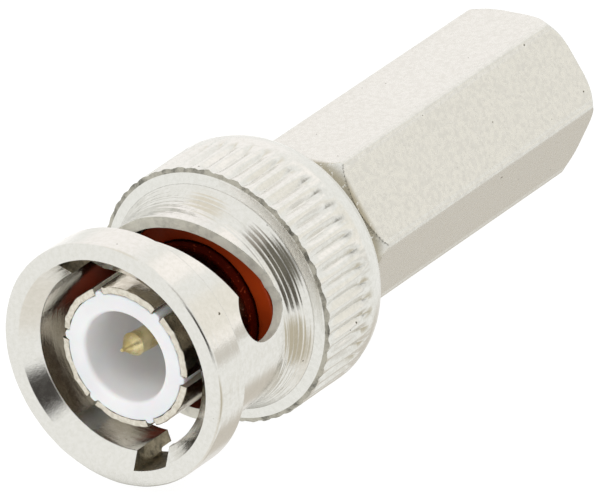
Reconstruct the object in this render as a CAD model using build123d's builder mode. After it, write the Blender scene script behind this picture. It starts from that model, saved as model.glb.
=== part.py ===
"""Bayonet coaxial cable plug with a long hexagonal body, in millimetres.

The plug's axis is X. The origin is on the axis at the front face of the outer contact. The mating
end faces -X, the cable end faces +X, +Z is up, and the plug lies with a flat of the hexagon down.
Angles about the axis are measured from +Z towards +Y.
"""

import os
from math import cos, hypot, radians, sin, tan

from build123d import *

# Clearances between pieces.
RUNNING_GAP = 0.08
SEAT_GAP = 0.02
SHELL_GAP = 0.2
RING_GAP = 0.05

# Outer contact: a split barrel, a flange, and a neck that carries the nut.
CONTACT_R = 4.08
CONTACT_WALL = 0.40
CONTACT_EDGE = 0.1
CONTACT_REACH = 6.05
CONTACT_SHOULDER = 0.2
CONTACT_BORE_DEPTH = 5.2
FINGER_SLOTS = 6
FINGER_SLOT_WIDTH = 0.62
FINGER_SLOT_LENGTH = 4.6
FINGER_SLOT_ANGLE = 19.57
FLANGE_LENGTH = 1.0
NECK_STEP = 0.12
NECK_SHOWN = 2.51
SPIGOT_STEP = 0.32
SPIGOT_WALL = 0.88
SPIGOT_LENGTH = 3.0

# Gasket in a relief at the root of the barrel, against the flange.
RELIEF_SHOWN = 0.8
GASKET_LENGTH = 1.0
GASKET_SEAT_DEPTH = 0.2

# Spring stack between the flange and the nut's lip.
WAVE_WIDTH = 0.77
WAVE_THICKNESS = 0.22
WAVE_HEIGHT = 0.2
WAVE_COUNT = 3
WAVE_SECTIONS = 12
THRUST_LENGTH = 0.4

# Retaining ring in its groove on the neck.
RETAINER_LENGTH = 0.8
RETAINER_WIDTH = 1.1
RETAINER_GROOVE_DEPTH = 0.28
RETAINER_MOUTH = 1.4

# Coupling nut: walls over its bore, and lengths from its front face or from its rear face.
NUT_LEAD = 1.13
MOUTH_BEVEL = 0.85
WAIST_WALL = 0.65
GROOVE_DEPTH = 0.82
RING_WALL = 0.95
RING_LENGTH = 2.3
RING_EDGE = 0.1
RING_BACK = 0.4
COVE_LENGTH = 2.0
COVE_RISE = 0.65
STEP_HEIGHT = 0.6
STEP_LENGTH = 0.15
LEAD_LENGTH = 0.05
LEAD_HEIGHT = 0.27
GRIP_LENGTH = 4.25
RIM_LENGTH = 0.85
RIM_DROP = 0.22
RIM_BEVEL = 0.6
RIM_BEVEL_HEIGHT = 0.38
LIP_LENGTH = 1.5
RECESS_GAP = 0.6
RECESS_COVER = 1.32

# Bayonet slots: an entry groove, a ramp and a locking hole, twice round the nut.
SLOT_COUNT = 2
GROOVE_ANGLE = 17.07
GROOVE_WIDTH = 2.3
RAMP_WIDTH = 2.8
RAMP_START = 4.95
RAMP_RISE = 1.42
RAMP_TURN = 79.5
RAMP_POWER = 1.6
RAMP_SECTIONS = 8
LOCK_TURN = 90.0
LOCK_PLACE = 6.12
LOCK_R = 1.73
CUTTER_REACH = 0.6

# Straight knurl on the grip: flutes that run out before the rear rim.
FLUTE_COUNT = 50
FLUTE_ANGLE = 1.37
FLUTE_DEPTH = 0.25
FLUTE_HALF_WIDTH = 0.44
FLUTE_RUN_OUT = 0.75

# Insulators and the pin.
INSULATOR_RUN = 0.93
INSULATOR_WALL = 1.06
INSULATOR_BORE_DEPTH = 5.6
INSULATOR_EDGE = 0.1
REAR_INSULATOR_LENGTH = 5.5
PIN_R = 0.675
PIN_TIP = 0.2
PIN_NIB_R = 0.13
PIN_NIB_LENGTH = 0.3
PIN_TAPER = 0.75
PIN_ROOT_HEIGHT = 0.2
PIN_COLLAR_HEIGHT = 0.225
PIN_COLLAR_LENGTH = 0.6
PIN_SHANK_HEIGHT = 0.275
PIN_SHANK_LENGTH = 6.0
PIN_SHANK_WALL = 0.45
PIN_HOLE_DEPTH = 4.5

# Hexagonal body.
HEX_WALL = 0.66
HEX_LENGTH = 21.27
HEX_FACE_INSET = 0.065
HEX_BEVEL_ANGLE = 43.0
HEX_WEB_STEP = 0.6
HEX_WEB_LENGTH = 1.0
CABLE_WALL = 1.51
CABLE_MOUTH = 0.55

# Radii that follow from the sizes above, from the pin outwards.
contact_bore_r = CONTACT_R - CONTACT_WALL
contact_seat_r = contact_bore_r - CONTACT_SHOULDER
insulator_r = contact_bore_r - SEAT_GAP
insulator_back_r = contact_seat_r - SEAT_GAP
gasket_seat_r = CONTACT_R - GASKET_SEAT_DEPTH
neck_r = CONTACT_R + NECK_STEP
spigot_r = neck_r - SPIGOT_STEP
neck_bore_r = spigot_r - SPIGOT_WALL
ring_bore_r = neck_r + RUNNING_GAP
wave_r = ring_bore_r + WAVE_WIDTH
thrust_r = wave_r + RING_GAP
nut_bore_r = thrust_r + SHELL_GAP
retainer_groove_r = neck_r - RETAINER_GROOVE_DEPTH
retainer_r = retainer_groove_r + RETAINER_WIDTH
groove_floor_r = nut_bore_r + GROOVE_DEPTH
ring_r = groove_floor_r + RING_WALL
waist_r = nut_bore_r + WAIST_WALL
cove_r = waist_r + COVE_RISE
step_r = cove_r + STEP_HEIGHT
grip_r = step_r + LEAD_HEIGHT
rim_r = grip_r - RIM_DROP
pin_root_r = PIN_R + PIN_ROOT_HEIGHT
pin_collar_r = pin_root_r + PIN_COLLAR_HEIGHT
pin_shank_r = PIN_R + PIN_SHANK_HEIGHT
pin_hole_r = pin_shank_r - PIN_SHANK_WALL
hex_r = spigot_r + SEAT_GAP + HEX_WALL
hex_face_r = hex_r - HEX_FACE_INSET
hex_corner_r = hex_r / cos(radians(30))
hex_bevel = (hex_corner_r - hex_face_r) * tan(radians(HEX_BEVEL_ANGLE))
cable_bore_r = hex_r - CABLE_WALL
hex_web_r = cable_bore_r - HEX_WEB_STEP

# Places along the axis that follow from the sizes above, from the mating end to the cable end.
nut_front = -NUT_LEAD
gasket_front = CONTACT_REACH + RELIEF_SHOWN
flange_front = gasket_front + GASKET_LENGTH
flange_back = flange_front + FLANGE_LENGTH
wave_pitch = WAVE_THICKNESS + 2 * WAVE_HEIGHT + SEAT_GAP
wave_middle = flange_back + SEAT_GAP + WAVE_HEIGHT + WAVE_THICKNESS / 2
thrust_front = flange_back + 2 * wave_pitch + SEAT_GAP
lip_front = thrust_front + THRUST_LENGTH
lip_back = lip_front + LIP_LENGTH
nut_back = lip_back + RETAINER_LENGTH + RECESS_COVER
rim_end = nut_back - RIM_BEVEL
rim_start = rim_end - RIM_LENGTH
grip_start = rim_start - GRIP_LENGTH
cove_end = grip_start - LEAD_LENGTH - STEP_LENGTH
cove_start = cove_end - COVE_LENGTH
ramp_start = nut_front + RAMP_START
hex_front = nut_back + NECK_SHOWN
hex_back = hex_front + HEX_LENGTH
spigot_back = hex_front + SPIGOT_LENGTH
insulator_back = flange_back + INSULATOR_RUN
collar_front = insulator_back - PIN_COLLAR_LENGTH


def radial_plane(angle, x=0.0):
    """Plane that faces out from the axis at this angle, with its own x along the plug."""
    out = (0, sin(radians(angle)), cos(radians(angle)))
    return Plane(origin=(x, 0, 0), x_dir=(1, 0, 0), z_dir=out)


def cross_plane(angle, x=0.0):
    """Plane square to the axis, with its own y pointing out at this angle."""
    side = (0, cos(radians(angle)), -sin(radians(angle)))
    return Plane(origin=(x, 0, 0), x_dir=side, z_dir=(1, 0, 0))


def section_plane(angle, x=0.0):
    """Plane that holds the axis, with its own x along the plug and its y pointing out."""
    normal = (0, -cos(radians(angle)), sin(radians(angle)))
    return Plane(origin=(x, 0, 0), x_dir=(1, 0, 0), z_dir=normal)


def make_outer_contact():
    """Barrel, flange, neck and spigot turned in one piece, with the barrel slit into fingers."""
    groove_front = lip_back - SEAT_GAP
    groove_back = lip_back + RETAINER_LENGTH + SEAT_GAP
    with BuildPart() as contact:
        with BuildSketch(Plane.XY):
            with BuildLine():
                Polyline(
                    (0, contact_bore_r),
                    (0, CONTACT_R - CONTACT_EDGE),
                    (CONTACT_EDGE, CONTACT_R),
                    (CONTACT_REACH, CONTACT_R),
                    (CONTACT_REACH, gasket_seat_r),
                    (flange_front, gasket_seat_r),
                    (flange_front, thrust_r),
                    (flange_back, thrust_r),
                    (flange_back, neck_r),
                    (groove_front, neck_r),
                    (groove_front, retainer_groove_r),
                    (groove_back, retainer_groove_r),
                    (groove_back, neck_r),
                    (hex_front, neck_r),
                    (hex_front, spigot_r),
                    (spigot_back, spigot_r),
                    (spigot_back, neck_bore_r),
                    (insulator_back, neck_bore_r),
                    (insulator_back, contact_seat_r),
                    (CONTACT_BORE_DEPTH, contact_seat_r),
                    (CONTACT_BORE_DEPTH, contact_bore_r),
                    close=True,
                )
            make_face()
        revolve(axis=Axis.X)
        for index in range(FINGER_SLOTS):
            angle = FINGER_SLOT_ANGLE + index * 360 / FINGER_SLOTS
            with BuildSketch(cross_plane(angle)):
                with Locations((0, CONTACT_R)):
                    Rectangle(FINGER_SLOT_WIDTH, 2 * CONTACT_WALL + CONTACT_EDGE)
            extrude(amount=FINGER_SLOT_LENGTH, mode=Mode.SUBTRACT)
    return contact


def make_gasket():
    """Soft ring in the barrel's relief, flat against the flange."""
    with BuildPart() as gasket:
        with BuildSketch(Plane.YZ.offset(gasket_front)):
            Circle(wave_r)
            Circle(gasket_seat_r + SEAT_GAP, mode=Mode.SUBTRACT)
        extrude(amount=GASKET_LENGTH)
    return gasket


def make_insulator():
    """Front bead: a deep open bore, a web that centres the pin, and a seat for its collar."""
    bore_r = insulator_r - INSULATOR_WALL
    with BuildPart() as bead:
        with BuildSketch(Plane.XY):
            with BuildLine():
                Polyline(
                    (0, bore_r),
                    (0, insulator_r - INSULATOR_EDGE),
                    (INSULATOR_EDGE, insulator_r),
                    (CONTACT_BORE_DEPTH, insulator_r),
                    (CONTACT_BORE_DEPTH, insulator_back_r),
                    (insulator_back, insulator_back_r),
                    (insulator_back, pin_collar_r + SEAT_GAP),
                    (collar_front, pin_collar_r + SEAT_GAP),
                    (collar_front, pin_root_r + SEAT_GAP),
                    (INSULATOR_BORE_DEPTH, pin_root_r + SEAT_GAP),
                    (INSULATOR_BORE_DEPTH, bore_r),
                    close=True,
                )
            make_face()
        revolve(axis=Axis.X)
    return bead


def make_rear_insulator():
    """Rear bead behind the pin's collar."""
    with BuildPart() as bead:
        with BuildSketch(Plane.YZ.offset(insulator_back)):
            Circle(neck_bore_r - SEAT_GAP)
            Circle(pin_shank_r + SEAT_GAP, mode=Mode.SUBTRACT)
        extrude(amount=REAR_INSULATOR_LENGTH)
    return bead


def make_center_pin():
    """Pin with a nib on its cone, a thicker root, a collar between the beads, a hollow shank."""
    shank_back = insulator_back + PIN_SHANK_LENGTH
    nib_back = PIN_TIP + PIN_NIB_LENGTH
    with BuildPart() as pin:
        with BuildSketch(Plane.XY):
            with BuildLine():
                Polyline(
                    (PIN_TIP, 0),
                    (PIN_TIP, PIN_NIB_R),
                    (nib_back, PIN_NIB_R),
                    (nib_back + PIN_TAPER, PIN_R),
                    (INSULATOR_BORE_DEPTH, PIN_R),
                    (INSULATOR_BORE_DEPTH, pin_root_r),
                    (collar_front, pin_root_r),
                    (collar_front, pin_collar_r),
                    (insulator_back, pin_collar_r),
                    (insulator_back, pin_shank_r),
                    (shank_back, pin_shank_r),
                    (shank_back, pin_hole_r),
                    (shank_back - PIN_HOLE_DEPTH, pin_hole_r),
                    (shank_back - PIN_HOLE_DEPTH - pin_hole_r, 0),
                    close=True,
                )
            make_face()
        revolve(axis=Axis.X)
    return pin


def wave_height(angle, sign):
    """Height of a wave washer's middle above its mean plane at this angle."""
    return sign * WAVE_HEIGHT * cos(radians(WAVE_COUNT * angle))


def make_wave_washer(middle, sign):
    """Spring washer bent into waves, as a half ring lofted round the axis and mirrored."""
    with BuildPart() as washer:
        for index in range(WAVE_SECTIONS + 1):
            angle = index * 180 / WAVE_SECTIONS
            place = (middle + wave_height(angle, sign), (ring_bore_r + wave_r) / 2)
            with BuildSketch(section_plane(angle)):
                with Locations(place):
                    Rectangle(WAVE_THICKNESS, WAVE_WIDTH)
        loft()
        mirror(about=Plane.XZ)
    return washer


def make_thrust_washer():
    """Flat washer between the springs and the nut's lip."""
    with BuildPart() as washer:
        with BuildSketch(Plane.YZ.offset(thrust_front)):
            Circle(thrust_r)
            Circle(ring_bore_r, mode=Mode.SUBTRACT)
        extrude(amount=THRUST_LENGTH)
    return washer


def make_retaining_ring():
    """Split ring that sits in the neck's groove behind the nut's lip."""
    with BuildPart() as ring:
        with BuildSketch(cross_plane(0, lip_back)):
            Circle(retainer_r)
            Circle(retainer_groove_r + SEAT_GAP, mode=Mode.SUBTRACT)
            with Locations((0, retainer_r)):
                Rectangle(RETAINER_MOUTH, retainer_r, mode=Mode.SUBTRACT)
        extrude(amount=RETAINER_LENGTH)
    return ring


def make_hex_body():
    """Hexagonal cable body, bevelled at both ends, bored for the spigot and for the cable."""
    web_front = spigot_back + SEAT_GAP
    web_back = web_front + HEX_WEB_LENGTH
    with BuildPart() as body:
        with BuildSketch(cross_plane(0, hex_front)):
            RegularPolygon(hex_r, 6, major_radius=False)
        extrude(amount=HEX_LENGTH)
        with BuildSketch(Plane.XY):
            with BuildLine():
                Polyline(
                    (hex_front, 0),
                    (hex_front, hex_face_r),
                    (hex_front + hex_bevel, hex_corner_r),
                    (hex_back - hex_bevel, hex_corner_r),
                    (hex_back, hex_face_r),
                    (hex_back, 0),
                    close=True,
                )
            make_face()
        revolve(axis=Axis.X, mode=Mode.INTERSECT)
        with BuildSketch(Plane.XY):
            with BuildLine():
                Polyline(
                    (hex_front, 0),
                    (hex_front, spigot_r + SEAT_GAP),
                    (web_front, spigot_r + SEAT_GAP),
                    (web_front, hex_web_r),
                    (web_back, hex_web_r),
                    (web_back, cable_bore_r),
                    (hex_back - CABLE_MOUTH, cable_bore_r),
                    (hex_back, cable_bore_r + CABLE_MOUTH),
                    (hex_back, 0),
                    close=True,
                )
            make_face()
        revolve(axis=Axis.X, mode=Mode.SUBTRACT)
    return body


def make_nut_blank():
    """The nut as it leaves the lathe: ring, waist, cove, grip and rim outside, lip inside."""
    with BuildPart() as blank:
        with BuildSketch(Plane.XY):
            with BuildLine():
                Polyline(
                    (nut_front, nut_bore_r + MOUTH_BEVEL),
                    (nut_front, ring_r - RING_EDGE),
                    (nut_front + RING_EDGE, ring_r),
                    (nut_front + RING_LENGTH, ring_r),
                    (nut_front + RING_LENGTH + RING_BACK, waist_r),
                    (cove_start, waist_r),
                )
                TangentArc((cove_start, waist_r), (cove_end, cove_r), tangent=(1, 0))
                Polyline(
                    (cove_end, cove_r),
                    (cove_end + STEP_LENGTH, step_r),
                    (grip_start, grip_r),
                    (rim_start, grip_r),
                    (rim_end, rim_r),
                    (nut_back, rim_r - RIM_BEVEL_HEIGHT),
                    (nut_back, retainer_r + RECESS_GAP),
                    (lip_back, retainer_r + RECESS_GAP),
                    (lip_back, ring_bore_r),
                    (lip_front, ring_bore_r),
                    (lip_front, nut_bore_r),
                    (nut_front + MOUTH_BEVEL, nut_bore_r),
                    (nut_front, nut_bore_r + MOUTH_BEVEL),
                )
            make_face()
        revolve(axis=Axis.X)
    return blank


def ramp_place(share):
    """Place of the ramp's centreline along the axis, at this share of its turn."""
    return ramp_start + RAMP_RISE * share**RAMP_POWER


def make_slot_cutter(angle):
    """Space of one bayonet slot: entry groove, rising ramp and the round hole that locks."""
    inner_r = nut_bore_r - CUTTER_REACH
    outer_r = groove_floor_r + CUTTER_REACH
    lock_place = nut_front + LOCK_PLACE
    with BuildPart() as cutter:
        for index in range(RAMP_SECTIONS + 1):
            share = index / RAMP_SECTIONS
            with BuildSketch(section_plane(angle - share * RAMP_TURN)):
                with Locations((ramp_place(share), (inner_r + outer_r) / 2)):
                    Rectangle(RAMP_WIDTH, outer_r - inner_r)
        loft()
        with BuildSketch(radial_plane(angle, ramp_start).offset(inner_r)):
            Circle(RAMP_WIDTH / 2)
        extrude(amount=outer_r - inner_r)
        with BuildSketch(radial_plane(angle - LOCK_TURN, lock_place).offset(inner_r)):
            Circle(LOCK_R)
        extrude(amount=outer_r - inner_r)
        with BuildSketch(cross_plane(angle, nut_front)):
            Circle(groove_floor_r)
            with Locations((0, groove_floor_r)):
                Rectangle(GROOVE_WIDTH, 2 * (groove_floor_r - inner_r), mode=Mode.INTERSECT)
        extrude(amount=RAMP_START)
    return cutter


def make_flute_cutter():
    """Space of one knurl flute: a V that starts ahead of the grip and runs out before the rim."""
    tip_r = grip_r - FLUTE_DEPTH
    clear_r = grip_r + FLUTE_DEPTH
    half = 2 * FLUTE_HALF_WIDTH
    run_out = rim_start - FLUTE_RUN_OUT
    level = (cove_end, run_out - cove_end, 0)
    rising = (run_out, FLUTE_RUN_OUT, FLUTE_DEPTH)
    with BuildPart() as cutter:
        for start, length, rise in (level, rising):
            with BuildSketch(cross_plane(0, start)):
                with BuildLine():
                    Polyline((0, tip_r), (half, clear_r), (-half, clear_r), close=True)
                make_face()
            extrude(amount=hypot(length, rise), dir=(length, 0, rise))
    return cutter


def make_coupling_nut():
    """The finished nut: blank, two bayonet slots and the knurl."""
    slots = [make_slot_cutter(GROOVE_ANGLE + k * 360 / SLOT_COUNT).part for k in range(SLOT_COUNT)]
    flute = make_flute_cutter().part
    turns = [k * 360 / FLUTE_COUNT - FLUTE_ANGLE for k in range(FLUTE_COUNT)]
    flutes = [flute.rotate(Axis.X, turn) for turn in turns]
    blank = make_nut_blank().part
    with BuildPart() as nut:
        add(blank)
        add(slots, mode=Mode.SUBTRACT)
        add(flutes, mode=Mode.SUBTRACT)
    return nut


coupling_nut = make_coupling_nut()
outer_contact = make_outer_contact()
gasket = make_gasket()
insulator = make_insulator()
rear_insulator = make_rear_insulator()
center_pin = make_center_pin()
wave_washer_front = make_wave_washer(wave_middle, -1)
wave_washer_rear = make_wave_washer(wave_middle + wave_pitch, 1)
thrust_washer = make_thrust_washer()
retaining_ring = make_retaining_ring()
hex_body = make_hex_body()

coupling_nut.part.label = "coupling_nut"
outer_contact.part.label = "outer_contact"
gasket.part.label = "gasket"
insulator.part.label = "insulator"
rear_insulator.part.label = "rear_insulator"
center_pin.part.label = "center_pin"
wave_washer_front.part.label = "wave_washer_front"
wave_washer_rear.part.label = "wave_washer_rear"
thrust_washer.part.label = "thrust_washer"
retaining_ring.part.label = "retaining_ring"
hex_body.part.label = "hex_body"

os.makedirs("parts", exist_ok=True)
export_step(coupling_nut.part, "parts/coupling_nut.step")
export_step(outer_contact.part, "parts/outer_contact.step")
export_step(gasket.part, "parts/gasket.step")
export_step(insulator.part, "parts/insulator.step")
export_step(rear_insulator.part, "parts/rear_insulator.step")
export_step(center_pin.part, "parts/center_pin.step")
export_step(wave_washer_front.part, "parts/wave_washer_front.step")
export_step(wave_washer_rear.part, "parts/wave_washer_rear.step")
export_step(thrust_washer.part, "parts/thrust_washer.step")
export_step(retaining_ring.part, "parts/retaining_ring.step")
export_step(hex_body.part, "parts/hex_body.step")
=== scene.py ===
"""Looks, light and camera for the bayonet coaxial plug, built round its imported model.

Sizes are in millimetres and become metres when a mesh is made. The plug's axis is X, its mating
end faces -X, and +Z is up. Angles about the axis are measured from +Z towards +Y.
"""

import math
import random

import bmesh
import bpy
from mathutils import Matrix, Vector, noise


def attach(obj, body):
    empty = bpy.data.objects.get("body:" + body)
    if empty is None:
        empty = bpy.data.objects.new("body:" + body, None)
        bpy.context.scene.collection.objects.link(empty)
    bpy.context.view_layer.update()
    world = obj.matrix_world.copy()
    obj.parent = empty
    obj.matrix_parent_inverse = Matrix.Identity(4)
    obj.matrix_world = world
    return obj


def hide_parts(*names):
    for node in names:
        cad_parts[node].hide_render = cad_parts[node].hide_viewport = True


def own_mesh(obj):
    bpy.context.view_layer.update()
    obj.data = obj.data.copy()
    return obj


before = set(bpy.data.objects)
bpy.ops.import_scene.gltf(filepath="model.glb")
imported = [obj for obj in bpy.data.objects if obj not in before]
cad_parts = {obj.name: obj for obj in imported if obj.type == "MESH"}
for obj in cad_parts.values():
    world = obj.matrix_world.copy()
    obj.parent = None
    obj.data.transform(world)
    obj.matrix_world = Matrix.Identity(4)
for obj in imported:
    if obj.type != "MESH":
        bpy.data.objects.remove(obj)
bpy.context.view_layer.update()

MM = 0.001

# Camera, fitted to the photograph.
EYE = Vector((-446.78, -356.888, 265.527)) * MM
RIGHT = Vector((0.572385, -0.814335, -0.096095))
DOWN = Vector((-0.390674, -0.167794, -0.905108))
AHEAD = Vector((0.720936, 0.555612, -0.414181))
LENS_MM = 709.917
SENSOR_MM = 36.0

# Nut, as in the solids: radii, then places along the axis.
BORE_R = 5.30
MOUTH_R = 6.15
RING_R = 7.07
WAIST_R = 5.95
COVE_R = 6.60
BAND_R = 7.20
CREST_R = 7.46
FLUTE_DEPTH = 0.28
RIM_R = 7.25
REAR_R = 6.87
RECESS_R = 5.62
LIP_R = 4.28
FLOOR_R = 6.12
NUT_FRONT = -1.13
RING_END = 1.17
RING_BACK = 1.57
COVE_START = 6.27
COVE_END = 8.27
BAND_END = 8.42
GRIP_START = 8.47
RUN_OUT = 11.0
RIM_START = 12.72
RIM_END = 13.57
NUT_BACK = 14.17
LIP_FRONT = 10.55
LIP_BACK = 12.05
FLUTES = 50
FLUTE_ANGLE = 1.37
FLUTE_POINTS = 18
RIB_ROUND = 0.12
TEAR_LENGTH = 0.2
TEAR_DEPTH = 0.05
RIB_START_SHARE = 0.3
COVE_STEPS = 44
LINE_DEPTH = 0.003
LINE_GROWTH = 0.009
LINES_TO_GROW = 14
WAVER = 0.012

# Bayonet slots.
SLOT_ANGLE = 17.07
GROOVE_HALF = 1.15
RAMP_HALF = 1.4
RAMP_BACK = 6.58
RAMP_REACH = 1.08
RAMP_START = 3.82
RAMP_RISE = 1.42
RAMP_TURN = 79.5
RAMP_POWER = 1.6
LOCK_TURN = 90.0
LOCK_X = 4.99
LOCK_R = 1.73
CUT_IN_R = 4.7
CUT_OUT_R = 6.72
RAMP_STEPS = 40
HOLE_POINTS = 96
FLOOR_POINTS = 13

# Contact: split barrel, relief, flange, neck with the ring's groove, and spigot.
BARREL_R = 4.08
BARREL_BORE_R = 3.68
BARREL_FLOOR = 5.2
BARREL_END = 6.05
RELIEF_R = 3.88
FLANGE_R = 5.10
FLANGE_FRONT = 7.85
FLANGE_BACK = 8.85
NECK_R = 4.20
RING_GROOVE_FRONT = 12.03
RING_GROOVE_BACK = 12.87
RING_GROOVE_R = 3.92
SPIGOT_R = 3.88
SPIGOT_END = 19.68
NECK_BORE_R = 3.00
SEAT_R = 3.48
FINGER_SLOTS = 6
FINGER_ANGLE = 19.57
FINGER_HALF = 0.31
FINGER_DEPTH = 4.6
SLIT_IN_R = 3.2
SLIT_OUT_R = 4.6
RAGGED_LENGTH = 0.3
RAGGED_DEPTH = 0.04

# Front insulator.
BEAD_FRONT = 0.03
BEAD_R = 3.66
BEAD_BORE_R = 2.60
BEAD_SEAT_R = 3.46
COLLAR_HOLE_R = 1.12
STEM_HOLE_R = 0.895
SWELL_END = 4.4
SWELL_DEPTH = 0.3
SWELL_HEIGHT = 0.24

# Pin.
PIN_FRONT = 0.26
NIB_END = 0.5
CONE_END = 1.25
CONE_R = 0.69
PIN_R = 0.65
PIN_ROOT = 5.6
STEM_R = 0.875
COLLAR_FRONT = 9.18
COLLAR_BACK = 9.78
COLLAR_R = 1.10
SHANK_R = 0.95
SHANK_END = 15.78
SHANK_BORE_R = 0.52
SHANK_BORE_END = 11.3
PIN_TILT = (0.33, 0.26)

# Gasket and wave washers.
GASKET_FRONT = 6.86
GASKET_BACK = 7.84
GASKET_BORE_R = 3.91
GASKET_R = 5.04
WAVE_FRONT_MIDDLE = 9.18
WAVE_REAR_MIDDLE = 9.82
WAVE_R = 5.05
WAVE_HEIGHT = 0.2
WAVE_COUNT = 3
WAVE_HALF = 0.11

# Hexagonal body.
HEX_R = 4.56
HEX_FRONT = 16.68
HEX_BACK = 37.95
HEX_FACE_R = 4.495
HEX_BEVEL = 0.72
HEX_CORNER = 0.28
HEX_LIP = 0.045
HEX_LIP_WIDTH = 0.25
HEX_REAR_BEVEL = 0.8
BEVEL_STEPS = (0.0, 0.02, 0.05, 0.09, 0.14, 0.2, 0.27, 0.35, 0.44, 0.53, 0.62, 0.7, 0.78, 0.9, 1.1)
SOCKET_R = 3.90
CABLE_R = 3.05
WEB_R = 2.45
WEB_FRONT = 19.70
WEB_BACK = 20.70
THREAD_PITCH = 0.8
THREAD_DEPTH = 0.16
THREAD_EASE = 0.8
THREAD_SKIN = 0.01

FLOOR_Z = -7.50
FLOOR_HALF_METRES = 3.0


def make_camera():
    """Camera whose axes and place are given above."""
    data = bpy.data.cameras.new("camera")
    data.lens = LENS_MM
    data.sensor_width = SENSOR_MM
    data.clip_start = 0.05
    data.clip_end = 20.0
    camera = bpy.data.objects.new("camera", data)
    bpy.context.scene.collection.objects.link(camera)
    camera.matrix_world = Matrix(
        (
            (RIGHT.x, -DOWN.x, -AHEAD.x, EYE.x),
            (RIGHT.y, -DOWN.y, -AHEAD.y, EYE.y),
            (RIGHT.z, -DOWN.z, -AHEAD.z, EYE.z),
            (0, 0, 0, 1),
        )
    )
    bpy.context.scene.camera = camera


# Meshes.


def polar(x, r, angle):
    """Point at this place along the axis, radius and angle in radians, in metres."""
    return Vector((x, r * math.sin(angle), r * math.cos(angle))) * MM


def add_object(name, vertices, faces):
    """New object from points in metres, with its faces turned outwards."""
    mesh = bpy.data.meshes.new(name)
    mesh.from_pydata(vertices, [], faces)
    shape = bmesh.new()
    shape.from_mesh(mesh)
    bmesh.ops.recalc_face_normals(shape, faces=shape.faces)
    shape.to_mesh(mesh)
    shape.free()
    thing = bpy.data.objects.new(name, mesh)
    bpy.context.scene.collection.objects.link(thing)
    return thing


def smooth(thing, degrees=32):
    """Smooth shading, with edges over this angle left sharp."""
    mesh = thing.data
    for face in mesh.polygons:
        face.use_smooth = True
    mesh.set_sharp_from_angle(angle=math.radians(degrees))


def rounded(points, radius, steps=3):
    """Closed loop of points with its corners rounded; a third number is that corner's own radius."""
    out = []
    for index, corner in enumerate(points):
        here = Vector(corner[:2])
        before = Vector(points[index - 1][:2]) - here
        after = Vector(points[(index + 1) % len(points)][:2]) - here
        wanted = corner[2] if len(corner) > 2 else radius
        reach = min(wanted, 0.4 * before.length, 0.4 * after.length)
        if wanted == 0 or before.angle(after) > math.radians(176):
            out.append(here)
            continue
        start = here + before.normalized() * reach
        end = here + after.normalized() * reach
        if before.length > 4 * reach:
            out.append(here + before.normalized() * reach * 1.5)
        for step in range(steps + 1):
            t = step / steps
            out.append(start * (1 - t) ** 2 + here * 2 * t * (1 - t) + end * t**2)
        if after.length > 4 * reach:
            out.append(here + after.normalized() * reach * 1.5)
    return out


def turned(name, loop, count, shape=None):
    """Form turned from a loop of (x, r); shape may move each point, given its angle in radians."""
    vertices = []
    for x, r in loop:
        for index in range(count):
            angle = 2 * math.pi * index / count
            place = shape(x, r, angle) if shape else (x, r)
            vertices.append(polar(*place, angle))
    faces = []
    rows = len(loop)
    for row in range(rows):
        start = row * count
        following = (row + 1) % rows * count
        for index in range(count):
            after = (index + 1) % count
            faces.append((start + index, start + after, following + after, following + index))
    return add_object(name, vertices, faces)


def prism(name, sections):
    """Closed tube through sections of equally many points, with flat ends."""
    size = len(sections[0])
    vertices = [point for section in sections for point in section]
    faces = [tuple(range(size)), tuple(range(len(vertices) - size, len(vertices)))]
    for row in range(len(sections) - 1):
        for index in range(size):
            after = (index + 1) % size
            start = row * size
            faces.append((start + index, start + after, start + size + after, start + size + index))
    return add_object(name, vertices, faces)


def cut(thing, cutters, material):
    """Takes the cutters away from the thing, and gives the cut faces this material."""
    for cutter in cutters:
        cutter.data.materials.append(material)
        tool = thing.modifiers.new("cut", "BOOLEAN")
        tool.operation = "DIFFERENCE"
        tool.solver = "EXACT"
        tool.material_mode = "TRANSFER"
        tool.object = cutter
    bpy.context.view_layer.update()
    graph = bpy.context.evaluated_depsgraph_get()
    mesh = bpy.data.meshes.new_from_object(thing.evaluated_get(graph))
    thing.modifiers.clear()
    thing.data = mesh
    for cutter in cutters:
        bpy.data.objects.remove(cutter)


def wobble(angle, scale, seed):
    """Smooth noise round the axis, about -1 to 1."""
    place = Vector((math.sin(angle) * scale, math.cos(angle) * scale, seed))
    return noise.noise(place) * 1.8


# Materials.

# Colour of the painted shade that darkens corners and recesses.
CREVICE_SHADE = (0.38, 0.36, 0.31)
PIT = (0.16, 0.14, 0.11)


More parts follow.
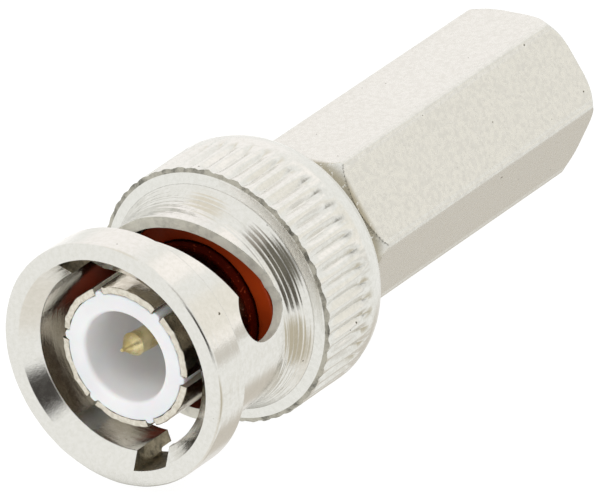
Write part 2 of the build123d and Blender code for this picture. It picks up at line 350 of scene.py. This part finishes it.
class Paint:
    """Short way to write a node tree round one Principled shader."""

    def __init__(self, name):
        self.material = bpy.data.materials.new(name)
        self.material.use_nodes = True
        self.tree = self.material.node_tree
        self.shader = self.tree.nodes["Principled BSDF"]
        self.place = self.node("ShaderNodeTexCoord").outputs["Object"]

    def node(self, kind, **settings):
        made = self.tree.nodes.new(kind)
        for key, value in settings.items():
            setattr(made, key, value)
        return made

    def link(self, source, target):
        self.tree.links.new(source, target)

    def put(self, **values):
        for key, value in values.items():
            self.shader.inputs[key.replace("_", " ")].default_value = value

    def scaled(self, scale):
        mapping = self.node("ShaderNodeMapping")
        mapping.inputs["Scale"].default_value = scale
        self.link(self.place, mapping.inputs["Vector"])
        return mapping.outputs["Vector"]

    def noise(self, scale, detail=3.0, stretch=(1, 1, 1), rough=0.5):
        made = self.node("ShaderNodeTexNoise")
        made.inputs["Scale"].default_value = scale
        made.inputs["Detail"].default_value = detail
        made.inputs["Roughness"].default_value = rough
        self.link(self.scaled(stretch), made.inputs["Vector"])
        return made.outputs["Fac"]

    def spread(self, value, low, high, to_low=0.0, to_high=1.0):
        """Value from low to high, spread to a new range with soft ends."""
        made = self.node("ShaderNodeMapRange", interpolation_type="SMOOTHSTEP")
        made.inputs["From Min"].default_value = low
        made.inputs["From Max"].default_value = high
        made.inputs["To Min"].default_value = to_low
        made.inputs["To Max"].default_value = to_high
        self.link(value, made.inputs["Value"])
        return made.outputs["Result"]

    def mix(self, factor, first, second):
        made = self.node("ShaderNodeMix", data_type="RGBA")
        self.link(factor, made.inputs["Factor"])
        for socket, value in zip((made.inputs[6], made.inputs[7]), (first, second)):
            if isinstance(value, tuple):
                socket.default_value = (*value, 1)
            else:
                self.link(value, socket)
        return made.outputs[2]

    def bump(self, height, distance, normal=None):
        made = self.node("ShaderNodeBump")
        made.inputs["Distance"].default_value = distance * MM
        self.link(height, made.inputs["Height"])
        if normal:
            self.link(normal, made.inputs["Normal"])
        return made.outputs["Normal"]

    def edges(self, radius):
        made = self.node("ShaderNodeBevel", samples=4)
        made.inputs["Radius"].default_value = radius * MM
        return made.outputs["Normal"]

    def crevice(self, distance):
        made = self.node("ShaderNodeAmbientOcclusion", samples=6)
        made.inputs["Distance"].default_value = distance * MM
        return made.outputs["AO"]


def nickel(name, bright, dull, rough, grain, lines=0.0, crevice_shade=CREVICE_SHADE, reach=0.5, painted_band=None):
    """Plated metal: cloudy tone, fine grain, turning lines round the axis, painted shade in corners
    and recesses.

    A painted band, if there is any, is a colour that takes over between two places along the axis;
    it lays painted reflection and shade into the metal's colour.
    """
    paint = Paint(name)
    cloud = paint.noise(3600, 5.0, rough=0.6)
    fine = paint.noise(7000, 3.0, rough=0.65)
    # Painted shade: the tone darkens where ambient occlusion finds corners and recesses within
    # reach.
    unshaded = paint.spread(paint.crevice(reach), 0.2, 0.7)
    tone = paint.mix(paint.spread(cloud, 0.35, 0.65), dull, bright)
    tone = paint.mix(paint.spread(paint.noise(3000, 1.0), 0.79, 0.82), tone, PIT)
    tone = paint.mix(unshaded, crevice_shade, tone)
    # Painted band: painted reflection and shade take over the tone along the axis, with random
    # bright specks left in it.
    if painted_band:
        painted_tone, start, end = painted_band
        along = paint.node("ShaderNodeSeparateXYZ")
        paint.link(paint.place, along.inputs[0])
        banded = paint.spread(along.outputs["X"], start * MM, end * MM)
        speck = paint.spread(paint.noise(4200, 2.0, rough=0.7), 0.62, 0.68)
        tone = paint.mix(banded, tone, paint.mix(speck, painted_tone, bright))
    paint.link(tone, paint.shader.inputs["Base Color"])
    roughness = paint.spread(cloud, 0.3, 0.7, rough * 1.35, rough * 0.75)
    paint.link(roughness, paint.shader.inputs["Roughness"])
    paint.put(Metallic=1.0)
    normal = paint.bump(fine, grain, paint.edges(0.05))
    if lines:
        rings = paint.noise(2200, 2.0, stretch=(1, 0.02, 0.02), rough=0.7)
        normal = paint.bump(rings, lines, normal)
    paint.link(normal, paint.shader.inputs["Normal"])
    return paint.material


def milled(name, colour, shade=0.6, metallic=1.0):
    """Rough cut metal, where the cutter has ripped the plated edge."""
    paint = Paint(name)
    coarse = paint.noise(900, 4.0, rough=0.7)
    dark = tuple(channel * shade for channel in colour)
    tone = paint.mix(paint.spread(coarse, 0.3, 0.6), dark, colour)
    paint.link(tone, paint.shader.inputs["Base Color"])
    paint.put(Metallic=metallic, Roughness=0.42)
    normal = paint.bump(coarse, 0.08, paint.edges(0.06))
    paint.link(normal, paint.shader.inputs["Normal"])
    return paint.material


def white_polymer(name):
    """Waxy white fluoropolymer, a little cloudy and faintly blue."""
    paint = Paint(name)
    cloud = paint.noise(300, 3.0)
    tone = paint.mix(paint.spread(cloud, 0.3, 0.7), (0.81, 0.81, 0.84), (0.88, 0.88, 0.90))
    paint.link(tone, paint.shader.inputs["Base Color"])
    paint.link(paint.spread(cloud, 0.3, 0.7, 0.38, 0.5), paint.shader.inputs["Roughness"])
    paint.put(Subsurface_Weight=0.25, Subsurface_Scale=0.0006)
    paint.link(paint.bump(paint.noise(1500, 3.0), 0.012), paint.shader.inputs["Normal"])
    return paint.material


def plated_gold(name):
    """Gold plate, cloudy, with faint turning lines."""
    paint = Paint(name)
    cloud = paint.noise(900, 4.0)
    tone = paint.mix(paint.spread(cloud, 0.35, 0.65), (0.62, 0.50, 0.22), (0.92, 0.80, 0.46))
    paint.link(tone, paint.shader.inputs["Base Color"])
    paint.link(paint.spread(cloud, 0.3, 0.7, 0.34, 0.2), paint.shader.inputs["Roughness"])
    paint.put(Metallic=1.0)
    rings = paint.noise(2600, 2.0, stretch=(1, 0.02, 0.02))
    paint.link(paint.bump(rings, 0.02), paint.shader.inputs["Normal"])
    return paint.material


def red_silicone(name):
    """Soft red rubber with a slight gloss and darker streaks round the ring."""
    paint = Paint(name)
    streak = paint.noise(420, 3.0, stretch=(1.0, 0.25, 0.25))
    tone = paint.mix(paint.spread(streak, 0.3, 0.7), (0.22, 0.019, 0.003), (0.46, 0.050, 0.005))
    paint.link(tone, paint.shader.inputs["Base Color"])
    paint.put(Roughness=0.42, Specular_IOR_Level=0.3, Subsurface_Weight=0.1, Subsurface_Scale=0.0003)
    paint.link(paint.bump(paint.noise(1400, 3.0), 0.02), paint.shader.inputs["Normal"])
    return paint.material


# Pieces.


def finish_piece(thing, body, node, material, degrees=32):
    """Puts a finished mesh in the place of its solid; no material means it already has its own."""
    if material:
        thing.data.materials.clear()
        thing.data.materials.append(material)
    smooth(thing, degrees)
    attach(thing, body)
    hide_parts(node)


def cove_r(x):
    """Radius of the cove: an arc that leaves the waist tangentially."""
    length = COVE_END - COVE_START
    rise = COVE_R - WAIST_R
    radius = (length**2 + rise**2) / (2 * rise)
    return WAIST_R + radius - math.sqrt(radius**2 - (x - COVE_START) ** 2)


def slot_cutters():
    """Ramps with their round starts and locking holes, and the entry grooves, for the two slots."""
    ramps = []
    grooves = []
    for angle in (math.radians(SLOT_ANGLE), math.radians(SLOT_ANGLE + 180)):
        sections = []
        for index in range(RAMP_STEPS + 1):
            share = index / RAMP_STEPS * RAMP_REACH
            turn = angle - share * math.radians(RAMP_TURN)
            middle = RAMP_START + RAMP_RISE * share**RAMP_POWER
            back = min(middle + RAMP_HALF, RAMP_BACK)
            front = middle - RAMP_HALF
            corners = ((front, CUT_IN_R), (back, CUT_IN_R), (back, CUT_OUT_R), (front, CUT_OUT_R))
            sections.append([polar(x, r, turn) for x, r in corners])
        ramps.append(prism("ramp", sections))
        lock = angle - math.radians(LOCK_TURN)
        for place, turn, radius in ((RAMP_START, angle, RAMP_HALF), (LOCK_X, lock, LOCK_R)):
            out = Vector((0, math.sin(turn), math.cos(turn)))
            side = Vector((0, math.cos(turn), -math.sin(turn)))
            rings = []
            for height in (CUT_IN_R, CUT_OUT_R):
                ring = []
                for step in range(HOLE_POINTS):
                    a = 2 * math.pi * step / HOLE_POINTS
                    flat = Vector((place + radius * math.cos(a), 0, 0)) + side * radius * math.sin(a)
                    ring.append((flat + out * height) * MM)
                rings.append(ring)
            ramps.append(prism("hole", rings))
        half_floor = math.asin(GROOVE_HALF / FLOOR_R)
        half_inner = math.asin(GROOVE_HALF / CUT_IN_R)
        sections = []
        for place in (NUT_FRONT - 0.5, RAMP_START):
            inner = [polar(place, CUT_IN_R, angle + half_inner * s) for s in (1, -1)]
            turns = [half_floor * (2 * s / (FLOOR_POINTS - 1) - 1) for s in range(FLOOR_POINTS)]
            floor = [polar(place, FLOOR_R, angle + turn) for turn in turns]
            sections.append(inner + floor)
        grooves.append(prism("groove", sections))
    return ramps, grooves


def make_nut_shell(metal, raw, scored):
    """Front of the nut: mouth, ring, waist and cove, with the two slots cut through."""
    waist_end = COVE_START - 0.1
    outline = rounded(
        [
            (NUT_FRONT, MOUTH_R, 0.05),
            (NUT_FRONT, RING_R, 0.2),
            (RING_END, RING_R, 0.05),
            (RING_BACK, WAIST_R, 0.12),
            (waist_end, WAIST_R, 0),
            (COVE_END, COVE_R, 0),
            (COVE_END, BORE_R, 0),
            (NUT_FRONT + MOUTH_R - BORE_R, BORE_R, 0.05),
        ],
        0.05,
    )
    cove = []
    chooser = random.Random(4)
    for step in range(COVE_STEPS):
        x = COVE_START + (COVE_END - COVE_START) * (step + 0.5) / COVE_STEPS
        depth = LINE_DEPTH + LINE_GROWTH * min(1.0, step / LINES_TO_GROW)
        cove.append(Vector((x, cove_r(x) + chooser.uniform(-depth, depth))))
    start = next(i for i, p in enumerate(outline) if abs(p.x - waist_end) < 1e-6)
    loop = outline[: start + 1] + cove + outline[start + 1 :]

    def uneven(x, r, angle):
        if x < NUT_FRONT + 0.2 and r > RING_R - 0.2:
            r += WAVER * wobble(angle, 6, 1.0)
        return x, r

    shell = turned("nut_shell", loop, 360, uneven)
    shell.data.materials.append(metal)
    ramps, grooves = slot_cutters()
    cut(shell, ramps, raw)
    cut(shell, grooves, scored)
    finish_piece(shell, "nut", "coupling_nut", None, degrees=28)


def make_nut_grip(metal, torn_and_shaded):
    """Rear of the nut: band, knurled grip, rim, and the lip that the washers press on."""
    ribs = [GRIP_START, GRIP_START + 0.04, GRIP_START + 0.12, GRIP_START + 0.3]
    ribs += [9.3 + 0.6 * step for step in range(5)]
    ribs += [RIM_START - 1.0 + 0.1 * step for step in range(10)]
    loop = [Vector((COVE_END, BORE_R)), Vector((COVE_END, COVE_R))]
    loop += [Vector((COVE_END + 0.03, COVE_R + 0.06)), Vector((BAND_END - 0.03, BAND_R - 0.12))]
    loop += [Vector((BAND_END, BAND_R - 0.015))]
    face_row = len(loop) - 1
    loop += [Vector((x, CREST_R)) for x in ribs]
    rear = rounded(
        [
            (RIM_START + 0.1, CREST_R - 0.01, 0),
            (RIM_END, RIM_R, 0.3),
            (NUT_BACK, REAR_R, 0.06),
            (NUT_BACK, RECESS_R, 0.04),
            (LIP_BACK, RECESS_R, 0),
            (LIP_BACK, LIP_R, 0.05),
            (LIP_FRONT, LIP_R, 0.05),
            (LIP_FRONT, BORE_R, 0),
            (COVE_END, BORE_R, 0),
        ],
        0.05,
        4,
    )
    loop += rear[:-1]
    chooser = random.Random(9)
    depths = [FLUTE_DEPTH * chooser.uniform(0.9, 1.0) for _ in range(FLUTES)]
    fronts = [chooser.uniform(-0.03, 0.12) for _ in range(FLUTES)]
    crown = math.sqrt(RIB_ROUND)

    def knurl(x, r, angle):
        if r < BAND_R - 0.005 or x < BAND_END + 0.01 or x > RIM_START + 0.05:
            return x, r
        turn = (angle - math.radians(FLUTE_ANGLE)) / (2 * math.pi) * FLUTES
        index = int(math.floor(turn)) % FLUTES
        phase = abs((turn % 1.0) * 2 - 1)
        ridge = 1 - (math.sqrt(phase**2 + RIB_ROUND) - crown) / (math.sqrt(1 + RIB_ROUND) - crown)
        fade = min(1.0, max(0.0, (RIM_START - 0.1 - x) / (RIM_START - 0.1 - RUN_OUT)))
        fade = fade * fade * (3 - 2 * fade)
        depth = depths[index] * fade * min(1.0, RIB_START_SHARE + max(0.0, x - GRIP_START))
        lowered = r - depth * (1 - ridge)
        lowered += WAVER * wobble(angle, 40, x * 0.7)
        if x < GRIP_START + TEAR_LENGTH:
            share = 1 - (x - GRIP_START) / TEAR_LENGTH
            x += share * (fronts[index] * ridge + TEAR_DEPTH * wobble(angle, 30, 3.0) * ridge)
        return x, min(lowered, CREST_R)

    around = FLUTES * FLUTE_POINTS
    grip = turned("nut_grip", loop, around, knurl)
    grip.data.materials.append(metal)
    # Painted shade: the step faces at the rib fronts get dark ripped metal, which stands for the
    # step's shade as well as its rough finish.
    grip.data.materials.append(torn_and_shaded)
    for face in grip.data.polygons[face_row * around : (face_row + 1) * around]:
        face.material_index = 1
    finish_piece(grip, "nut", "coupling_nut", None, degrees=40)


def make_contact(metal, raw, plain):
    """Thin split barrel, gasket relief, flange and neck."""
    loop = rounded(
        [
            (0, BARREL_BORE_R, 0.05),
            (0, BARREL_R, 0.12),
            (BARREL_END, BARREL_R, 0.06),
            (BARREL_END, RELIEF_R),
            (FLANGE_FRONT, RELIEF_R),
            (FLANGE_FRONT, FLANGE_R),
            (FLANGE_BACK, FLANGE_R),
            (FLANGE_BACK, NECK_R),
            (RING_GROOVE_FRONT, NECK_R),
            (RING_GROOVE_FRONT, RING_GROOVE_R),
            (RING_GROOVE_BACK, RING_GROOVE_R),
            (RING_GROOVE_BACK, NECK_R),
            (HEX_FRONT, NECK_R),
            (HEX_FRONT, SPIGOT_R),
            (SPIGOT_END, SPIGOT_R),
            (SPIGOT_END, NECK_BORE_R),
            (COLLAR_BACK, NECK_BORE_R),
            (COLLAR_BACK, SEAT_R),
            (BARREL_FLOOR, SEAT_R),
            (BARREL_FLOOR, BARREL_BORE_R),
        ],
        0.03,
    )

    def ragged(x, r, angle):
        if x < RAGGED_LENGTH:
            share = 1 - x / RAGGED_LENGTH
            x += share * RAGGED_DEPTH * (1 + wobble(angle, 7, 2.0))
            r += share * RAGGED_DEPTH * wobble(angle, 9, 5.0)
        return x, r

    contact = turned("barrel", loop, 420, ragged)
    contact.data.materials.append(metal)
    cutters = []
    for index in range(FINGER_SLOTS):
        angle = math.radians(FINGER_ANGLE + index * 360 / FINGER_SLOTS)
        out = Vector((0, math.sin(angle), math.cos(angle)))
        side = Vector((0, math.cos(angle), -math.sin(angle)))
        sections = []
        for place in (-0.5, FINGER_DEPTH):
            along = Vector((place, 0, 0))
            corners = ((-1, SLIT_IN_R), (1, SLIT_IN_R), (1, SLIT_OUT_R), (-1, SLIT_OUT_R))
            sections.append([(along + side * s * FINGER_HALF + out * r) * MM for s, r in corners])
        cutters.append(prism("slit", sections))
    cut(contact, cutters, raw)
    contact.data.materials.append(plain)
    last = len(contact.data.materials) - 1
    for face in contact.data.polygons:
        if face.center.x > FLANGE_BACK * MM:
            face.material_index = last
    finish_piece(contact, "body", "outer_contact", None)


def make_bead(polymer):
    """Front insulator, which swells a little into the barrel's slits."""
    loop = rounded(
        [
            (BEAD_FRONT, BEAD_BORE_R, 0.28),
            (BEAD_FRONT, BEAD_R, 0.08),
            (BARREL_FLOOR, BEAD_R),
            (BARREL_FLOOR, BEAD_SEAT_R),
            (COLLAR_BACK, BEAD_SEAT_R),
            (COLLAR_BACK, COLLAR_HOLE_R),
            (COLLAR_FRONT, COLLAR_HOLE_R),
            (COLLAR_FRONT, STEM_HOLE_R),
            (PIN_ROOT, STEM_HOLE_R),
            (PIN_ROOT, BEAD_BORE_R, 0.2),
        ],
        0.03,
        5,
    )

    def swollen(x, r, angle):
        if 0 <= x < SWELL_END and r > BEAD_R - SWELL_DEPTH:
            for index in range(FINGER_SLOTS):
                centre = math.radians(FINGER_ANGLE + index * 360 / FINGER_SLOTS)
                away = (angle - centre + math.pi) % (2 * math.pi) - math.pi
                inside = max(0.0, 1 - (away * BEAD_R / (FINGER_HALF * 0.9)) ** 4)
                r += SWELL_HEIGHT * inside
        return x, r

    bead = turned("front_bead", loop, 360, swollen)
    finish_piece(bead, "body", "insulator", polymer, degrees=50)


def make_pin(gold):
    """Centre pin, whose tip leans a little to one side."""
    loop = rounded(
        [
            (PIN_FRONT, 0.02, 0),
            (PIN_FRONT, 0.09, 0.04),
            (NIB_END, 0.15, 0.03),
            (CONE_END, CONE_R, 0.02),
            (CONE_END + 0.08, PIN_R, 0.03),
            (PIN_ROOT, PIN_R, 0),
            (PIN_ROOT, STEM_R),
            (COLLAR_FRONT, STEM_R),
            (COLLAR_FRONT, COLLAR_R),
            (COLLAR_BACK, COLLAR_R),
            (COLLAR_BACK, SHANK_R),
            (SHANK_END, SHANK_R),
            (SHANK_END, SHANK_BORE_R),
            (SHANK_BORE_END, SHANK_BORE_R),
            (SHANK_BORE_END - 0.5, 0.02, 0),
        ],
        0.03,
    )
    pin = turned("pin", loop, 96)
    for vertex in pin.data.vertices:
        share = max(0.0, (PIN_ROOT * MM - vertex.co.x) / (PIN_ROOT * MM))
        vertex.co.y += share * PIN_TILT[0] * MM
        vertex.co.z += share * PIN_TILT[1] * MM
    finish_piece(pin, "body", "center_pin", gold)


def make_gasket(rubber):
    """Soft ring against the flange, with a slightly uneven front."""
    corners = [
        (GASKET_FRONT, GASKET_BORE_R),
        (GASKET_FRONT, GASKET_R),
        (GASKET_BACK, GASKET_R),
        (GASKET_BACK, GASKET_BORE_R),
    ]
    loop = rounded(corners, 0.16, 5)

    def lumpy(x, r, angle):
        if x < (GASKET_FRONT + GASKET_BACK) / 2:
            x += 0.02 * wobble(angle, 5, 7.0)
        return max(x, GASKET_FRONT - 0.005), r

    gasket = turned("seal", loop, 240, lumpy)
    finish_piece(gasket, "body", "gasket", rubber, degrees=60)


def make_wave_washer(node, middle, sign, metal):
    """Spring strip bent into three waves."""
    corners = [(-1, LIP_R), (1, LIP_R), (1, WAVE_R), (-1, WAVE_R)]
    loop = rounded([(middle + side * WAVE_HALF, r) for side, r in corners], 0.04)

    def waved(x, r, angle):
        return x + sign * WAVE_HEIGHT * math.cos(WAVE_COUNT * angle), r

    washer = turned(node + "_strip", loop, 144, waved)
    finish_piece(washer, "body", node, metal, degrees=50)
    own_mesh(washer)


def hex_radius(angle):
    """Radius of the hexagon with eased corners, at this angle in radians."""
    sector = math.radians(60)
    local = (angle + sector / 2) % sector - sector / 2
    straight = (HEX_R - HEX_CORNER) * math.tan(sector / 2)
    across = abs(math.tan(local) * HEX_R)
    if across <= straight:
        sunk = min(1.0, (straight - across) / HEX_LIP_WIDTH)
        return (HEX_R - HEX_LIP * sunk * sunk * (3 - 2 * sunk)) / math.cos(local)
    centre = (HEX_R - HEX_CORNER) / math.cos(sector / 2)
    turn = sector / 2 - abs(local)
    return centre * math.cos(turn) + math.sqrt(HEX_CORNER**2 - (centre * math.sin(turn)) ** 2)


def make_hex(metal):
    """Hexagonal body with eased corners, turned bevels and a threaded cable bore."""
    height = HEX_R / math.cos(math.radians(30)) - HEX_FACE_R
    places = [HEX_FRONT + s for s in BEVEL_STEPS]
    places += [HEX_FRONT + 2 + step for step in range(18)]
    places += [HEX_BACK - s for s in reversed(BEVEL_STEPS)]
    loop = [Vector((x, 0)) for x in places]
    loop += [Vector((HEX_BACK, HEX_FACE_R - 0.1)), Vector((HEX_BACK, CABLE_R + 0.6))]
    loop += [Vector((HEX_BACK - 0.02, CABLE_R + 0.53)), Vector((HEX_BACK - 0.5, CABLE_R + 0.04))]
    start = HEX_BACK - 0.6
    turns = int((start - WEB_BACK - 1.0) / THREAD_PITCH)
    for step in range(turns * 4):
        loop.append(Vector((start - step * THREAD_PITCH / 4, CABLE_R + THREAD_SKIN)))
    loop += [Vector((WEB_BACK, CABLE_R)), Vector((WEB_BACK, WEB_R)), Vector((WEB_FRONT, WEB_R))]
    loop += [Vector((WEB_FRONT, SOCKET_R)), Vector((HEX_FRONT, SOCKET_R))]
    last = start - turns * THREAD_PITCH

    def hexed(x, r, angle):
        if r == 0:
            front = HEX_FACE_R + (x - HEX_FRONT) * height / HEX_BEVEL
            back = HEX_FACE_R + height * (max(0.0, HEX_BACK - x) / HEX_REAR_BEVEL) ** 0.5
            return x, min(front, back, hex_radius(angle))
        if CABLE_R < r < CABLE_R + 2 * THREAD_SKIN and x > last:
            phase = (x / THREAD_PITCH + angle / (2 * math.pi)) % 1.0
            ease = min(1.0, (start - x) / THREAD_EASE, (x - last) / THREAD_EASE)
            return x, r + THREAD_DEPTH * max(0.0, ease) * abs(phase * 2 - 1)
        return x, r

    body = turned("cable_body", loop, 480, hexed)
    finish_piece(body, "body", "hex_body", metal, degrees=24)


def dress(node, material):
    """Gives a solid that is shown as it is its own material."""
    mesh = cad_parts[node].data
    mesh.materials.clear()
    mesh.materials.append(material)


def make_floor():
    """Plain white floor, lit enough of itself to carry no shadow, as in the photograph."""
    size = FLOOR_HALF_METRES
    corners = [(-size, -size), (size, -size), (size, size), (-size, size)]
    floor = add_object("floor", [(x, y, FLOOR_Z * MM) for x, y in corners], [(0, 1, 2, 3)])
    paint = Paint("floor_white")
    paint.put(Base_Color=(0.1, 0.1, 0.1, 1), Roughness=0.9)
    paint.put(Emission_Color=(1, 1, 1, 1), Emission_Strength=0.97)
    floor.data.materials.append(paint.material)
    floor.visible_glossy = False


# Light tent: patches of the surroundings, as direction, inner and outer half angle, and colour.
TENT = (0.91, 0.91, 0.875)
PATCHES = (
    ((-0.30, -0.30, -0.90), 8, 38, (0.82, 0.79, 0.72)),
    ((0.72, 0.50, 0.48), 6, 28, (1.03, 1.00, 0.97)),
    ((0.72, 0.63, -0.29), 4, 16, (1.12, 1.10, 1.08)),
    ((0.72, 0.36, -0.59), 8, 24, (0.82, 0.80, 0.76)),
    ((0.72, 0.05, -0.69), 6, 18, (0.63, 0.59, 0.52)),
    ((0.72, -0.13, 0.68), 3, 14, (1.07, 1.03, 0.98)),
    ((0.30, 0.35, 0.88), 6, 22, (0.80, 0.75, 0.64)),
    ((0.72, -0.69, 0.08), 3, 10, (1.04, 1.00, 0.94)),
    ((0.72, -0.68, -0.13), 2, 7, (0.64, 0.61, 0.55)),
    ((0.30, -0.70, -0.64), 14, 28, (0.54, 0.49, 0.38)),
    ((0.72, -0.62, 0.30), 6, 18, (0.91, 0.88, 0.80)),
    ((0.20, -0.62, 0.76), 8, 22, (0.36, 0.33, 0.29)),
    ((0.02, -0.88, 0.46), 18, 30, (0.16, 0.15, 0.12)),
    ((0.20, -0.97, 0.05), 13, 18, (0.12, 0.11, 0.09)),
    ((-0.68, -0.68, 0.22), 8, 24, (0.06, 0.055, 0.05)),
)
LAMP_AIM = (0.45, 0.15, -0.85)


def make_lamp():
    """Broad lamp from above and in front, which only shows on matt surfaces."""
    data = bpy.data.lights.new("lamp", "SUN")
    data.energy = 0.7
    data.angle = math.radians(50)
    lamp = bpy.data.objects.new("lamp", data)
    bpy.context.scene.collection.objects.link(lamp)
    lamp.rotation_euler = Vector(LAMP_AIM).to_track_quat("-Z", "Y").to_euler()
    lamp.visible_glossy = False


def make_world():
    """Surroundings that the metal mirrors: the tent's colour with its patches laid over it."""
    world = bpy.data.worlds.new("studio")
    world.use_nodes = True
    tree = world.node_tree
    nodes = tree.nodes
    links = tree.links
    background = nodes["Background"]
    place = nodes.new("ShaderNodeTexCoord").outputs["Generated"]
    colour = None
    for direction, inner, outer, tone in PATCHES:
        dot = nodes.new("ShaderNodeVectorMath")
        dot.operation = "DOT_PRODUCT"
        dot.inputs[1].default_value = Vector(direction).normalized()
        links.new(place, dot.inputs[0])
        soft = nodes.new("ShaderNodeMapRange")
        soft.interpolation_type = "SMOOTHSTEP"
        soft.inputs["From Min"].default_value = math.cos(math.radians(outer))
        soft.inputs["From Max"].default_value = math.cos(math.radians(inner))
        links.new(dot.outputs["Value"], soft.inputs["Value"])
        mix = nodes.new("ShaderNodeMix")
        mix.data_type = "RGBA"
        links.new(soft.outputs["Result"], mix.inputs["Factor"])
        if colour is None:
            mix.inputs[6].default_value = (*TENT, 1)
        else:
            links.new(colour, mix.inputs[6])
        mix.inputs[7].default_value = (*tone, 1)
        colour = mix.outputs[2]
    links.new(colour, background.inputs["Color"])
    background.inputs["Strength"].default_value = 1.0
    bpy.context.scene.world = world


make_camera()

plate = nickel(
    "nickel_plate",
    bright=(0.87, 0.86, 0.84),
    dull=(0.83, 0.82, 0.79),
    rough=0.13,
    grain=0.004,
    lines=0.014,
    # strong painted shade reaching far into the nut's bore and slots
    crevice_shade=(0.16, 0.145, 0.10),
    reach=2.6,
)
knurled = nickel(
    "nickel_knurl",
    bright=(0.88, 0.875, 0.855),
    dull=(0.84, 0.835, 0.81),
    rough=0.2,
    grain=0.006,
)
barrel_metal = nickel(
    "nickel_barrel",
    bright=(0.84, 0.80, 0.72),
    dull=(0.72, 0.67, 0.58),
    rough=0.2,
    grain=0.01,
    lines=0.01,
    # painted shade in the barrel's recesses
    crevice_shade=(0.24, 0.21, 0.16),
    reach=1.6,
    # painted band: dark red-brown reflection of the red gasket and painted shade on the barrel
    # inside the nut, fading in from 3.2 to 4.2 mm along the axis
    painted_band=((0.20, 0.085, 0.05), 3.2, 4.2),
)
satin = nickel(
    "nickel_satin",
    bright=(0.86, 0.855, 0.83),
    dull=(0.83, 0.82, 0.795),
    rough=0.28,
    grain=0.012,
    # painted band: painted shade on the hex's front bevel, next to the nut
    painted_band=((0.46, 0.42, 0.33), 17.3, 16.8),
)
steel = nickel(
    "spring_strip",
    bright=(0.66, 0.64, 0.60),
    dull=(0.5, 0.48, 0.44),
    rough=0.28,
    grain=0.01,
)
raw_nut = milled("milled_slot", (0.80, 0.78, 0.70), shade=0.7, metallic=0.25)
scored_nut = milled("milled_groove", (0.42, 0.37, 0.27), shade=0.25)
raw_barrel = milled("milled_slit", (0.74, 0.70, 0.60))
# dark ripped metal for the rib fronts, partly painted shade of the step
torn_and_shaded = milled("shaded_torn_edge", (0.55, 0.53, 0.47), shade=0.2)
polymer = white_polymer("white_polymer")
gold = plated_gold("gold_plate")
rubber = red_silicone("red_silicone")

make_nut_shell(plate, raw_nut, scored_nut)
make_nut_grip(knurled, torn_and_shaded)
make_contact(barrel_metal, raw_barrel, plate)
make_bead(polymer)
make_pin(gold)
make_gasket(rubber)
make_wave_washer("wave_washer_front", WAVE_FRONT_MIDDLE, -1, steel)
make_wave_washer("wave_washer_rear", WAVE_REAR_MIDDLE, 1, steel)
make_hex(satin)
dress("rear_insulator", polymer)
dress("thrust_washer", steel)
dress("retaining_ring", steel)

make_floor()
make_lamp()
make_world()
bpy.context.scene.view_settings.view_transform = "Standard"
